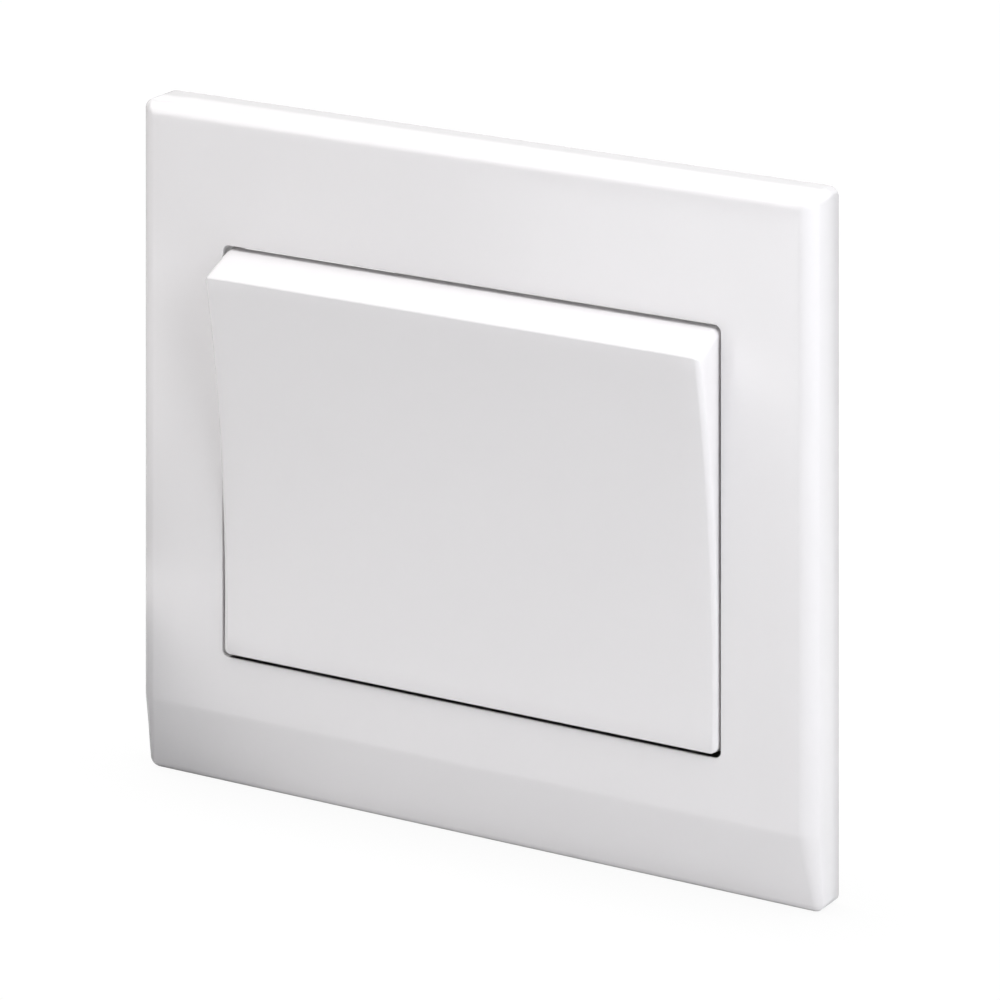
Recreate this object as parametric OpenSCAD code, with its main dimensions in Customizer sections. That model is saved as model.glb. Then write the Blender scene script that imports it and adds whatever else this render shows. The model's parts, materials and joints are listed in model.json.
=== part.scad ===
// One-gang rocker wall switch with a clip-on surround.
// Millimetres. The origin is the centre of the surround on the wall plane.
// +X is to the right, +Z is up and -Y points out of the wall, towards the user.

/* [Surround] */
// Width and height of the square surround
plate_size = 86; // [85:0.5:88]
// Depth from the wall to the front face
plate_depth = 8.5; // [8.3:0.1:9]
// Thickness of the surround's side walls
shell = 2; // [1.6:0.1:2.2]
// Thickness of the surround's front wall
face_t = 2.2; // [1.8:0.1:2.4]
// Radius of the surround's corners, seen from the front
corner_r = 1.2; // [0.8:0.1:2]
// Radius of the rounded front edge along the top and sides
edge_r = 1.9; // [1.4:0.1:2.2]
// Radius of the front edge along the bottom
base_edge_r = 1; // [0.5:0.1:1.4]
// Height of the sloped band along the bottom
band_h = 9.6; // [8:0.2:11]
// Slope of the band in degrees
band_angle = 15; // [10:1:16]
// Width of the opening for the rocker
opening_w = 63.6; // [63.6:0.1:64]
// Height of the opening for the rocker
opening_h = 52.2; // [52.2:0.1:52.6]

/* [Rocker] */
// Width of the rocker cap
cap_w = 63; // [62.4:0.1:63]
// Height of the cap at its skirt
cap_h = 52; // [51.6:0.1:52]
// Height of the cap between its front edges
cap_front_h = 49.3; // [48.6:0.1:49.4]
// Distance from the pivot axis to the cap's front edges
cap_reach = 9.5; // [9.2:0.1:9.6]
// Radius of the hollow front face
hollow_r = 158; // [150:1:200]
// Tilt from the middle position to either end of the travel, in degrees
tilt = 6.65; // [5.5:0.05:6.7]
// Distance of the pivot axis in front of the wall plane
pivot_out = 2.5; // [2.5:0.1:2.7]

/* [Mechanism] */
// Distance between the two fixing screws
fixing_pitch = 60.3; // [60:0.1:60.6]
// Diameter of the fixing screws
fixing_d = 3.5; // [3.4:0.1:3.6]
// Width of the mechanism case
case_w = 44; // [43.6:0.2:44.4]
// Height of the mechanism case
case_h = 38; // [37.6:0.2:38.4]
// Depth of the mechanism case behind the wall plane
case_depth = 20; // [19.9:0.1:20.2]
// Tilt of the contact bar either side of square, in degrees
contact_tilt = 10; // [8:0.5:10]
// Diameter of the cable bores in the terminals
cable_d = 4.2; // [3.8:0.1:4.2]

/* [Hidden] */
$fn = 64;

eps = 0.01;            // overrun of a cutting tool past the face it cuts
far = 100;             // longer than the whole switch
running_gap = 0.05;    // radial clearance of a shaft that turns or slides
rest_gap = 0.02;       // between two pieces that rest on each other
latch_gap = 0.2;       // play of a closed snap hook

half = plate_size / 2;
front_y = -plate_depth;
inside_y = front_y + face_t;
band_z = band_h - half;
band_back = band_h * tan(band_angle);
collar_t = 1.3;
collar_y = front_y + 3.5;
opening_r = 0.9;

// frame catches
catch_x = 36;
catch_z = 20;
catch_t = 1.4;
catch_w = 6;
catch_end_y = -0.5;
catch_room = 0.3;
barb = 0.8;

// mounting plate
plate_gap = 0.6;
back_half = half - shell - plate_gap;
rim_y = -3.2;
web_y = -1.6;
recess_w = 68.4;
recess_h = 58;
ledge_y = -1.8;
window_inner_z = 15.5;
window_outer_z = 28;
window_w = 65.2;
bearing_window = [35, 14];
plate_r = 2;
relief_size = [44, 5.6];
relief_z = 33.8;
relief_depth = 1.6;

// pivot, bearing ears and carrier
pivot_y = -pivot_out;
trunnion_r = 1.5;
ear_x = 12.5;
ear_t = 2.5;
ear_r = 2.6;
ear_foot = 1.4;
cheek_x = 9.5;
cheek_t = 2.7;
cheek_r = 2.4;
cheek_root = 5;
carrier_w = 32;
carrier_h = 28;
carrier_front = -5.2;
carrier_back = -3.7;
barrel_r = 3.2;
barrel_end = 5.5;
barrel_floor = -3;

// rocker cap
cap_wall = 1.5;
cap_face_t = 2;
cap_base = -1.2;
cap_shoulder = -3;
cap_corner_r = 0.9;
hollow_depth = hollow_r - sqrt(hollow_r * hollow_r - cap_front_h * cap_front_h / 4);
hollow_axis_y = -cap_reach + hollow_depth - hollow_r;
hook_x = 8;
hook_w = 5;
hook_t = 1.4;
hook_root = 1.4;
hook_barb = 0.7;
hook_end = -2.9;
rib_x = 12;
rib_t = 1.2;
rib_inset = 2;
notch_h = 14;

// plunger and its spring
plunger_r = 2;
plunger_top = 1.5;
plunger_seat = 6;
plunger_shoulder = 7.5;
plunger_tip = 11;
tip_r = 1.3;
spring_hole_r = 1.5;
coil_r = 1.12;
wire_r = 0.22;
coil_turns = 7;
coil_steps = 20;
wire_sides = 10;

// contact bar, in the frame of the fulcrum axis
fulcrum_y = 9.5;
fulcrum_r = 0.5;
bar_w = 6;
bar_h = 22;
bar_front = -0.9;
bar_back = -0.1;
saddle_h = 2.6;
saddle_y = 0.5;
contact_r = 1.8;
contact_t = 0.8;
contact_arm = 9;
dome_r = 3.2;
dome_root = 1;

// where the closed moving contact puts the dome of its fixed contact
closed_y = (bar_back + contact_t) * cos(contact_tilt) + contact_arm * sin(contact_tilt);
closed_z = contact_arm * cos(contact_tilt) - (bar_back + contact_t) * sin(contact_tilt);
dome_y = fulcrum_y + closed_y + (dome_r + running_gap) * cos(contact_tilt);
dome_z = closed_z - (dome_r + running_gap) * sin(contact_tilt);

// case
case_wall = 1.6;
case_r = 1;
cover_t = 2;
cover_lip = 1;
cover_r = 1.5;
post_w = 5;
divider_x = 5.2;
divider_t = 1.2;
divider_gap = 0.2;
fulcrum_seat = [[-6, 3], [-2, 2]];
dome_seat = [[-2.4, 7], [-1.8, 1.8]];
lug_x = 26.5;
lug_z = 9;
lug_w = 6;
lug_h = 5;
lug_t = 2.5;
boss_r = 2.4;
boss_y = -4.2;
self_tap_r = 1.3;
screw_hole_r = 1.5;
barrel_window = [12, 10.4];
self_tap_start_y = boss_y + 0.4;
self_tap_head_r = 2.4;
self_tap_head_t = 1.6;
self_tap_recess = [3.2, 0.9];

// terminals
terminal_x = 13.2;
terminal_z = 13.1;
pillar_w = 8;
pillar_h = 8.2;
pillar_front = 9;
pillar_back = case_depth - case_wall;
cable_r = cable_d / 2;
cable_floor = 0.8;
cable_y = pillar_front + cable_floor + cable_r;
cable_entry = 0.5;
pad_r = 1.9;
pad_t = 0.8;
pad_gap = 0.1;
pad_y = cable_y + cable_r + running_gap;
pad_room_y = pad_y + pad_t + pad_gap;
strip_front = 13;
strip_t = 1;
strip_w = 4.4;
arm_start_x = -2.4;
common_arm = [3, 2.5];
fulcrum_web = 0.35;
tab_t = 0.8;
tab_end_z = 16.5;
clamp_screw_r = 1.7;
clamp_travel = 2.4;
clamp_head_r = 2.8;
clamp_head_t = 1.5;
clamp_head_y = pillar_back + clamp_travel + pad_gap;
access_r = 3.1;
slot_w = 0.8;
slot_depth = 0.8;

// fixing screws
fixing_r = fixing_d / 2;
fixing_neck_r = fixing_r - 0.2;
fixing_neck_end = 0.4;
fixing_len = 25;
fixing_head_r = 3.25;
fixing_head_t = 2;
fixing_recess = [4, 1.2];
fixing_hole_r = fixing_r + 0.35;
fixing_slot = 1.6;

// colours
white_plastic = "whitesmoke";
case_plastic = "gainsboro";
nylon = "ivory";
brass = "goldenrod";
silver_alloy = "silver";
plated_steel = "lightsteelblue";

// a box from its low and high limits on each axis
module block(x, y, z) {
    translate([x[0], y[0], z[0]])
        cube([x[1] - x[0], y[1] - y[0], z[1] - z[0]]);
}

// a round bar along X, centred on x = 0
module bar_x(r, length, y = 0, z = 0) {
    translate([-length / 2, y, z])
        rotate([0, 90, 0])
            cylinder(r = r, h = length);
}

// a round bar along Y between two depths
module bar_y(r, from, to, x = 0, z = 0) {
    translate([x, from, z])
        rotate([-90, 0, 0])
            cylinder(r = r, h = to - from);
}

// a flat shape drawn in X and Z, given a depth along Y
module along_y(from, to) {
    translate([0, to, 0])
        rotate([90, 0, 0])
            linear_extrude(height = to - from)
                children();
}

// a flat shape drawn in Y and Z, given a width along X, centred on x = 0
module along_x(width) {
    translate([-width / 2, 0, 0])
        rotate([90, 0, 90])
            linear_extrude(height = width)
                children();
}

// a rectangle with round corners, centred on the origin
module round_rect(w, h, r) {
    square([w - 2 * r, h], center = true);
    square([w, h - 2 * r], center = true);
    for (x = [-1, 1], z = [-1, 1])
        translate([x * (w / 2 - r), z * (h / 2 - r)])
            circle(r = r);
}

// places a child at the four mirrored corners x, z
module four_corners(x, z) {
    for (sx = [-1, 1], sz = [-1, 1])
        translate([sx * x, 0, sz * z])
            children();
}

// moves the rocker's own frame, with its origin on the pivot axis, to the rest position
module on_rocker() {
    translate([0, pivot_y, 0])
        rotate([tilt, 0, 0])
            children();
}

// moves the contact bar's own frame, with its origin on the fulcrum, to the rest position
module on_contact() {
    translate([0, fulcrum_y, 0])
        rotate([-contact_tilt, 0, 0])
            children();
}

// side view of the surround: flat front, rounded edges and sloped bottom band
module frame_side() {
    round_z = base_edge_r - half;
    base_y = front_y + (band_h - base_edge_r) * tan(band_angle) + base_edge_r / cos(band_angle);
    polygon([
        [0, half],
        [front_y + edge_r, half],
        [front_y + edge_r, half - edge_r],
        [front_y, half - edge_r],
        [front_y, band_z],
        [base_y - base_edge_r * cos(band_angle), round_z - base_edge_r * sin(band_angle)],
        [base_y, round_z],
        [base_y, -half],
        [0, -half]
    ]);
    translate([front_y + edge_r, half - edge_r])
        circle(r = edge_r);
    translate([base_y, round_z])
        circle(r = base_edge_r);
}

// top view of the surround: flat front with both side edges rounded
module frame_top() {
    polygon([
        [-half, 0],
        [-half, front_y + edge_r],
        [edge_r - half, front_y + edge_r],
        [edge_r - half, front_y],
        [half - edge_r, front_y],
        [half - edge_r, front_y + edge_r],
        [half, front_y + edge_r],
        [half, 0]
    ]);
    for (side = [-1, 1])
        translate([side * (half - edge_r), front_y + edge_r])
            circle(r = edge_r);
}

module frame_outside() {
    intersection() {
        along_y(front_y, 0)
            round_rect(plate_size, plate_size, corner_r);
        along_x(plate_size)
            frame_side();
        translate([0, 0, -half])
            linear_extrude(height = plate_size)
                frame_top();
    }
}

module frame_hollow() {
    inner = half - shell;
    along_x(2 * inner)
        polygon([
            [eps, inner],
            [inside_y, inner],
            [inside_y, band_z],
            [inside_y + band_back - shell * tan(band_angle), -inner],
            [eps, -inner]
        ]);
}

// one snap hook of the surround; side is +1 or -1 along X
module frame_hook(side, z) {
    translate([0, 0, z - catch_w / 2])
        linear_extrude(height = catch_w)
            polygon([
                [side * (catch_x - catch_t / 2), inside_y - eps],
                [side * (catch_x + catch_t / 2), inside_y - eps],
                [side * (catch_x + catch_t / 2), ledge_y + latch_gap],
                [side * (catch_x + catch_t / 2 + barb), ledge_y + latch_gap],
                [side * (catch_x + catch_t / 2), catch_end_y],
                [side * (catch_x - catch_t / 2), catch_end_y]
            ]);
}

// outer surround that clips over the mounting plate
module front_frame() {
    color(white_plastic) {
        difference() {
            union() {
                difference() {
                    frame_outside();
                    frame_hollow();
                }
                along_y(inside_y - eps, collar_y)
                    round_rect(
                        opening_w + 2 * collar_t,
                        opening_h + 2 * collar_t,
                        opening_r + collar_t
                    );
            }
            along_y(front_y - eps, collar_y + eps)
                round_rect(opening_w, opening_h, opening_r);
        }
        for (side = [-1, 1], z = [-catch_z, catch_z])
            frame_hook(side, z);
    }
}

// opening in the mounting plate for one hook, with a ledge that the barb catches on
module catch_window(side, z) {
    z_limits = [z - catch_w / 2 - catch_room, z + catch_w / 2 + catch_room];
    inner = catch_x - catch_t / 2 - catch_room;
    neck = catch_x + catch_t / 2 + catch_room;
    pocket = neck + barb + catch_room;
    block(side > 0 ? [inner, neck] : [-neck, -inner], [rim_y - eps, eps], z_limits);
    block(side > 0 ? [inner, pocket] : [-pocket, -inner], [ledge_y, eps], z_limits);
}

// moulded plate that the box screws pass through and everything else hangs on
module mounting_plate() {
    color(white_plastic)
        difference() {
            union() {
                difference() {
                    along_y(rim_y, 0)
                        round_rect(2 * back_half, 2 * back_half, plate_r);
                    along_y(rim_y - eps, web_y)
                        round_rect(recess_w, recess_h, plate_r);
                }
                four_corners(lug_x, lug_z)
                    bar_y(boss_r, boss_y, web_y + eps);
            }
            // bearing ears of the mechanism come through here
            along_y(web_y - eps, eps)
                square(bearing_window, center = true);
            // room for the skirts of the rocker
            for (side = [-1, 1])
                translate([0, 0, side * (window_inner_z + window_outer_z) / 2])
                    along_y(web_y - eps, eps)
                        square([window_w, window_outer_z - window_inner_z], center = true);
            for (side = [-1, 1], z = [-catch_z, catch_z])
                catch_window(side, z);
            four_corners(lug_x, lug_z)
                bar_y(self_tap_r + eps, boss_y - eps, eps);
            // the left fixing hole is round and the right one is slotted for levelling
            bar_y(fixing_hole_r, web_y - eps, eps, x = -fixing_pitch / 2);
            for (z = [-fixing_slot, fixing_slot])
                bar_y(fixing_hole_r, web_y - eps, eps, x = fixing_pitch / 2, z = z);
            translate([fixing_pitch / 2, 0, 0])
                along_y(web_y - eps, eps)
                    square([2 * fixing_hole_r, 2 * fixing_slot], center = true);
            // shallow reliefs keep the back of the moulding even in thickness
            for (side = [-1, 1])
                translate([0, 0, side * relief_z])
                    along_y(-relief_depth, eps)
                        round_rect(relief_size[0], relief_size[1], plate_r / 2);
        }
}

// one bearing ear that stands forward from the cover
module bearing_ear(side) {
    translate([side * (ear_x + ear_t / 2), 0, 0])
        along_x(ear_t) {
            translate([pivot_y, 0])
                circle(r = ear_r);
            polygon([
                [pivot_y, ear_r],
                [pivot_y, -ear_r],
                [cover_t / 2, -ear_r - ear_foot],
                [cover_t / 2, ear_r + ear_foot]
            ]);
        }
}

// screw lugs that stand out to the sides of the case
module case_lugs(from, to) {
    for (side = [-1, 1])
        translate([0, 0, side * lug_z])
            block(
                [-lug_x - lug_w / 2, lug_x + lug_w / 2],
                [from, to],
                [-lug_h / 2, lug_h / 2]
            );
}

// front half of the case, with the bearings of the rocker
module mechanism_cover() {
    color(case_plastic)
        difference() {
            union() {
                along_y(0, cover_t)
                    round_rect(case_w + 2 * cover_lip, case_h + 2 * cover_lip, cover_r);
                case_lugs(0, cover_t);
                for (side = [-1, 1])
                    bearing_ear(side);
                // posts that hold the terminal pillars against the back of the case
                for (p = [[-1, -1], [1, -1], [1, 1]])
                    translate([p[0] * terminal_x, 0, p[1] * terminal_z])
                        block(
                            [-post_w / 2, post_w / 2],
                            [cover_t - eps, pillar_front],
                            [-post_w / 2, post_w / 2]
                        );
            }
            along_y(-eps, cover_t + eps)
                square(barrel_window, center = true);
            bar_x(trunnion_r + running_gap, far, y = pivot_y);
            four_corners(lug_x, lug_z)
                bar_y(screw_hole_r, -eps, cover_t + eps);
        }
}

// rear half of the case
module mechanism_housing() {
    inner_w = case_w - 2 * case_wall;
    inner_h = case_h - 2 * case_wall;
    strip_back = strip_front + strip_t;
    color(case_plastic)
        difference() {
            union() {
                difference() {
                    along_y(cover_t, case_depth)
                        round_rect(case_w, case_h, case_r);
                    along_y(cover_t - eps, pillar_back)
                        square([inner_w, inner_h], center = true);
                }
                // dividers between the contacts and the terminals
                for (side = [-1, 1])
                    translate([side * divider_x, 0, 0])
                        block(
                            [-divider_t / 2, divider_t / 2],
                            [cover_t + divider_gap, strip_front - divider_gap],
                            [-inner_h / 2 - eps, inner_h / 2 + eps]
                        );
                // seats behind the strips
                block(fulcrum_seat[0], [strip_back, pillar_back + eps], fulcrum_seat[1]);
                for (side = [-1, 1])
                    translate([0, 0, side * dome_z])
                        block(dome_seat[0], [strip_back, pillar_back + eps], dome_seat[1]);
                difference() {
                    case_lugs(cover_t, cover_t + lug_t);
                    along_y(cover_t - eps, cover_t + lug_t + eps)
                        square([case_w - case_wall, case_h], center = true);
                }
            }
            // cable entries and screwdriver access of the three terminals
            for (p = [[-1, -1], [1, -1], [1, 1]])
                translate([p[0] * terminal_x, 0, p[1] * terminal_z]) {
                    translate([0, cable_y, p[1] > 0 ? 0 : -far])
                        cylinder(r = cable_r + cable_entry, h = far);
                    bar_y(access_r, pillar_back - eps, case_depth + eps);
                }
            four_corners(lug_x, lug_z)
                bar_y(screw_hole_r, cover_t - eps, cover_t + lug_t + eps);
        }
}

// side view of the cap, before its front is hollowed; base is the depth it ends at
module cap_side(inset, base) {
    polygon([
        [-cap_reach, cap_front_h / 2 - inset],
        [cap_shoulder, cap_h / 2 - inset],
        [base, cap_h / 2 - inset],
        [base, inset - cap_h / 2],
        [cap_shoulder, inset - cap_h / 2],
        [-cap_reach, inset - cap_front_h / 2]
    ]);
}

// one hook of the cap, which grips the edge of the carrier; side is +1 or -1 along Z
module cap_hook(x, side) {
    root_y = hollow_axis_y + hollow_r + cap_face_t - hook_root;
    near = carrier_h / 2 + latch_gap;
    translate([x, 0, 0])
        along_x(hook_w)
            polygon([
                [root_y, side * near],
                [carrier_back + latch_gap, side * near],
                [carrier_back + latch_gap, side * (near - latch_gap - hook_barb)],
                [hook_end, side * near],
                [hook_end, side * (near + hook_t)],
                [root_y, side * (near + hook_t)]
            ]);
}

// the rocker that is pressed, a shell with a hollow front
module rocker_cap() {
    color(white_plastic)
        on_rocker() {
            difference() {
                intersection() {
                    along_x(cap_w)
                        cap_side(0, cap_base);
                    along_y(-cap_reach - eps, 0)
                        round_rect(cap_w, cap_h, cap_corner_r);
                }
                bar_x(hollow_r, far, y = hollow_axis_y);
                difference() {
                    along_x(cap_w - 2 * cap_wall)
                        cap_side(cap_wall, 0);
                    bar_x(hollow_r + cap_face_t, far, y = hollow_axis_y);
                }
                // the side walls clear the heads of the fixing screws
                block(
                    [-far / 2, far / 2],
                    [cap_shoulder - latch_gap, 0],
                    [-notch_h / 2, notch_h / 2]
                );
            }
            // ribs that the cap rests on the carrier with
            for (side = [-1, 1])
                difference() {
                    translate([side * rib_x, 0, 0])
                        along_x(rib_t)
                            square([2 * cap_reach, carrier_h - 2 * rib_inset], center = true);
                    bar_x(hollow_r + cap_face_t / 2, far, y = hollow_axis_y);
                    block([-far, far], [carrier_front, far], [-far, far]);
                }
            for (x = [-hook_x, hook_x], side = [-1, 1])
                cap_hook(x, side);
        }
}

// tilting carrier under the cap, with trunnions and the barrel of the plunger
module rocker_carrier() {
    color(case_plastic)
        on_rocker()
            difference() {
                union() {
                    along_y(carrier_front, carrier_back)
                        round_rect(carrier_w, carrier_h, 1);
                    bar_y(barrel_r, carrier_back - eps, barrel_end);
                    for (side = [-1, 1])
                        translate([side * (cheek_x + cheek_t / 2), 0, 0])
                            along_x(cheek_t) {
                                circle(r = cheek_r);
                                polygon([
                                    [carrier_back - eps, cheek_root],
                                    [carrier_back - eps, -cheek_root],
                                    [0, -cheek_r],
                                    [0, cheek_r]
                                ]);
                            }
                    for (side = [-1, 1])
                        translate([side * (ear_x + ear_t / 2), 0, 0])
                            bar_x(trunnion_r, ear_t + 1);
                }
                bar_y(plunger_r + running_gap, barrel_floor, barrel_end + eps);
            }
}

// hollow nylon plunger with a round tip
module plunger() {
    color(nylon)
        on_rocker()
            difference() {
                union() {
                    bar_y(plunger_r, plunger_top, plunger_shoulder);
                    bar_y(tip_r, plunger_shoulder - eps, plunger_tip - tip_r);
                    translate([0, plunger_tip - tip_r, 0])
                        sphere(r = tip_r);
                }
                bar_y(spring_hole_r, plunger_top - eps, plunger_seat);
            }
}

// section of the coiled wire, cut square to the axis of the spring
module wire_section(pitch) {
    polygon([
        for (i = [0 : wire_sides - 1])
            let (
                a = 360 * i / wire_sides,
                r = coil_r + wire_r * cos(a),
                turn = 360 * wire_r * sin(a) / pitch
            )
            [r * cos(turn), r * sin(turn)]
    ]);
}

// coil spring between the floor of the barrel and the seat in the plunger
module plunger_spring() {
    end_gap = wire_r + rest_gap;
    coil_h = plunger_seat - barrel_floor - 2 * end_gap;
    color(plated_steel)
        on_rocker()
            translate([0, barrel_floor + end_gap, 0])
                rotate([-90, 0, 0])
                    linear_extrude(
                        height = coil_h,
                        twist = -360 * coil_turns,
                        slices = coil_turns * coil_steps,
                        $fn = wire_sides
                    )
                        wire_section(coil_h / coil_turns);
}

// see-saw blade with a saddle that rocks on the fulcrum
module contact_bar() {
    color(brass)
        on_contact()
            difference() {
                union() {
                    block(
                        [-bar_w / 2, bar_w / 2],
                        [bar_front, bar_back],
                        [-bar_h / 2, bar_h / 2]
                    );
                    block(
                        [-bar_w / 2, bar_w / 2],
                        [bar_front + saddle_y / 2, saddle_y],
                        [-saddle_h / 2, saddle_h / 2]
                    );
                }
                bar_x(fulcrum_r + running_gap, far);
                block(
                    [-far / 2, far / 2],
                    [0, saddle_y + eps],
                    [-fulcrum_r - running_gap, fulcrum_r + running_gap]
                );
            }
}

// silver rivets on the ends of the blade
module moving_contacts() {
    color(silver_alloy)
        on_contact()
            for (side = [-1, 1])
                bar_y(contact_r, bar_back, bar_back + contact_t, z = side * contact_arm);
}

// domed silver rivets on the two switched strips
module fixed_contacts() {
    color(silver_alloy)
        for (side = [-1, 1])
            intersection() {
                bar_y(contact_r, dome_y - dome_r - dome_root, strip_front, z = side * dome_z);
                translate([0, dome_y, side * dome_z])
                    sphere(r = dome_r);
            }
}

// a switched strip: an arm behind the fixed contact and a tab against its pillar
module switched_strip(side) {
    pillar_side = terminal_x - pillar_w / 2;
    arm_z = [dome_z - strip_w / 2, dome_z + strip_w / 2];
    color(brass)
        mirror([0, 0, side < 0 ? 1 : 0]) {
            block([arm_start_x, pillar_side], [strip_front, strip_front + strip_t], arm_z);
            block(
                [pillar_side - tab_t, pillar_side],
                [cable_y - cable_r, strip_front + strip_t],
                [arm_z[0], tab_end_z]
            );
        }
}

module l1_strip() {
    switched_strip(1);
}

module l2_strip() {
    switched_strip(-1);
}

// common strip: a tab against the pillar, an arm to the centre and the fulcrum
module common_strip() {
    pillar_side = terminal_x - pillar_w / 2;
    color(brass) {
        block(
            [-pillar_side, common_arm[0]],
            [strip_front, strip_front + strip_t],
            [-common_arm[1], common_arm[1]]
        );
        block(
            [-pillar_side, tab_t - pillar_side],
            [cable_y - cable_r, strip_front + strip_t],
            [-tab_end_z, common_arm[1]]
        );
        block(
            [-bar_w / 2, bar_w / 2],
            [fulcrum_y, strip_front + eps],
            [-fulcrum_web, fulcrum_web]
        );
        bar_x(fulcrum_r, bar_w, y = fulcrum_y);
    }
}

// brass pillar with a cable bore along Z and a clamp screw from the back
module pillar(side_x, side_z) {
    color(brass)
        translate([side_x * terminal_x, 0, side_z * terminal_z])
            difference() {
                block(
                    [-pillar_w / 2, pillar_w / 2],
                    [pillar_front, pillar_back],
                    [-pillar_h / 2, pillar_h / 2]
                );
                translate([0, cable_y, -pillar_h])
                    cylinder(r = cable_r, h = 2 * pillar_h);
                bar_y(pad_r + pad_gap, cable_y, pad_room_y);
                bar_y(clamp_screw_r + running_gap, pad_room_y - eps, pillar_back + eps);
            }
}

module common_pillar() {
    pillar(-1, -1);
}

module l1_pillar() {
    pillar(1, 1);
}

module l2_pillar() {
    pillar(1, -1);
}

// pad that the clamp screw pushes onto the cable
module clamp_pad(side_x, side_z) {
    color(plated_steel)
        bar_y(
            pad_r, pad_y, pad_y + pad_t,
            x = side_x * terminal_x, z = side_z * terminal_z
        );
}

module common_clamp_pad() {
    clamp_pad(-1, -1);
}

module l1_clamp_pad() {
    clamp_pad(1, 1);
}

module l2_clamp_pad() {
    clamp_pad(1, -1);
}

// clamp screw with a slotted head, backed off so that the bore is open
module clamp_screw(side_x, side_z) {
    color(plated_steel)
        translate([side_x * terminal_x, 0, side_z * terminal_z])
            difference() {
                union() {
                    bar_y(clamp_screw_r, pad_y + pad_t + rest_gap, clamp_head_y + eps);
                    bar_y(clamp_head_r, clamp_head_y, clamp_head_y + clamp_head_t);
                }
                block(
                    [-far / 2, far / 2],
                    [clamp_head_y + clamp_head_t - slot_depth, clamp_head_y + clamp_head_t + eps],
                    [-slot_w / 2, slot_w / 2]
                );
            }
}

module common_screw() {
    clamp_screw(-1, -1);
}

module l1_screw() {
    clamp_screw(1, 1);
}

module l2_screw() {
    clamp_screw(1, -1);
}

// cross recess cut into a screw head; size is its width and depth, inward is the side it is cut to
module cross_recess(size, face_y, inward) {
    limits = inward > 0 ? [face_y - eps, face_y + size[1]] : [face_y - size[1], face_y + eps];
    for (turn = [0, 90])
        rotate([0, turn, 0])
            block([-size[0] / 2, size[0] / 2], limits, [-slot_w / 2, slot_w / 2]);
}

// the two screws that hold the switch to its wall box, with a plain neck where they pass the plate
module fixing_screws() {
    head_y = web_y - fixing_head_t;
    color(plated_steel)
        for (side = [-1, 1])
            translate([side * fixing_pitch / 2, 0, 0])
                difference() {
                    union() {
                        bar_y(fixing_head_r, head_y, web_y);
                        bar_y(fixing_neck_r, web_y - eps, fixing_neck_end + eps);
                        bar_y(fixing_r, fixing_neck_end, web_y + fixing_len);
                    }
                    cross_recess(fixing_recess, head_y, 1);
                }
}

// four self-tapping screws through the case lugs into the bosses of the plate
module housing_screws() {
    head_y = cover_t + lug_t;
    end_y = head_y + self_tap_head_t;
    color(plated_steel)
        four_corners(lug_x, lug_z)
            difference() {
                union() {
                    bar_y(self_tap_r, self_tap_start_y, head_y + eps);
                    bar_y(self_tap_head_r, head_y, end_y);
                }
                cross_recess(self_tap_recess, end_y, -1);
            }
}

front_frame();
mounting_plate();
mechanism_cover();
mechanism_housing();
rocker_cap();
rocker_carrier();
plunger();
plunger_spring();
contact_bar();
moving_contacts();
fixed_contacts();
common_strip();
l1_strip();
l2_strip();
common_pillar();
l1_pillar();
l2_pillar();
common_clamp_pad();
l1_clamp_pad();
l2_clamp_pad();
common_screw();
l1_screw();
l2_screw();
fixing_screws();
housing_screws();
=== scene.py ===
"""One-gang rocker wall switch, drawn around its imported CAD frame. Lengths are in metres."""

import json
import math

import bmesh
import bpy
from mathutils import Matrix, Vector


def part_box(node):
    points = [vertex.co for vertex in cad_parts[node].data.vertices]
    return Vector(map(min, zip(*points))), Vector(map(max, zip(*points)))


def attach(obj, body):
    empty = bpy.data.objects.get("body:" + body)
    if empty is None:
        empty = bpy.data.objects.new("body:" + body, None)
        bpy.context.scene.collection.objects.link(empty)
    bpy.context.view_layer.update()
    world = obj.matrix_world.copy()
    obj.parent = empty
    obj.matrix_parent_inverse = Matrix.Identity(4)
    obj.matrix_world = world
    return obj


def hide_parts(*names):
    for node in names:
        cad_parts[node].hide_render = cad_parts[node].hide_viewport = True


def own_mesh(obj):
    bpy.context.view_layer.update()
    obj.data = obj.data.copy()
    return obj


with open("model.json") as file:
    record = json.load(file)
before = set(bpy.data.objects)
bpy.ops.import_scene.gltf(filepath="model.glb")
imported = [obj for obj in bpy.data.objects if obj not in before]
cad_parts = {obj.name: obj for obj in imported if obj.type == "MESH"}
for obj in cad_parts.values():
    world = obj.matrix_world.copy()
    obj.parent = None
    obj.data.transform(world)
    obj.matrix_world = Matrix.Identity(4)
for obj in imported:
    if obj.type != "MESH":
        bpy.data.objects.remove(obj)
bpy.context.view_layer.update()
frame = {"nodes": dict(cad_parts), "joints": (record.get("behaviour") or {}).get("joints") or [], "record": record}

MM = 0.001
NODES = frame["nodes"]
JOINTS = {j["name"]: j for j in frame["joints"]}

# ---------------------------------------------------------------- dimensions

# the surround, from its CAD box
frame_lo, frame_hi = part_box("front_frame")
HALF = frame_hi.x
FRONT = frame_lo.y
SHELL = 2.0 * MM
FACE_T = 2.2 * MM
INSIDE = FRONT + FACE_T
CORNER_R = 1.2 * MM
EDGE_R = 1.9 * MM
BAND_EDGE_R = 1.0 * MM
# how full the rounding of the front edge is: 1 is a quarter circle, more cuts deeper at its ends
EDGE_CURVE = 1.2
BAND_Z = 9.6 * MM - HALF
BAND_SLOPE = math.tan(math.radians(15))
BAND_BLEND = 0.4 * MM
OPENING_X = 31.8 * MM
OPENING_Z = 26.1 * MM
OPENING_R = 0.9 * MM
LIP_R = 0.12 * MM
COLLAR_T = 1.3 * MM
COLLAR = FRONT + 3.5 * MM

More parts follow.
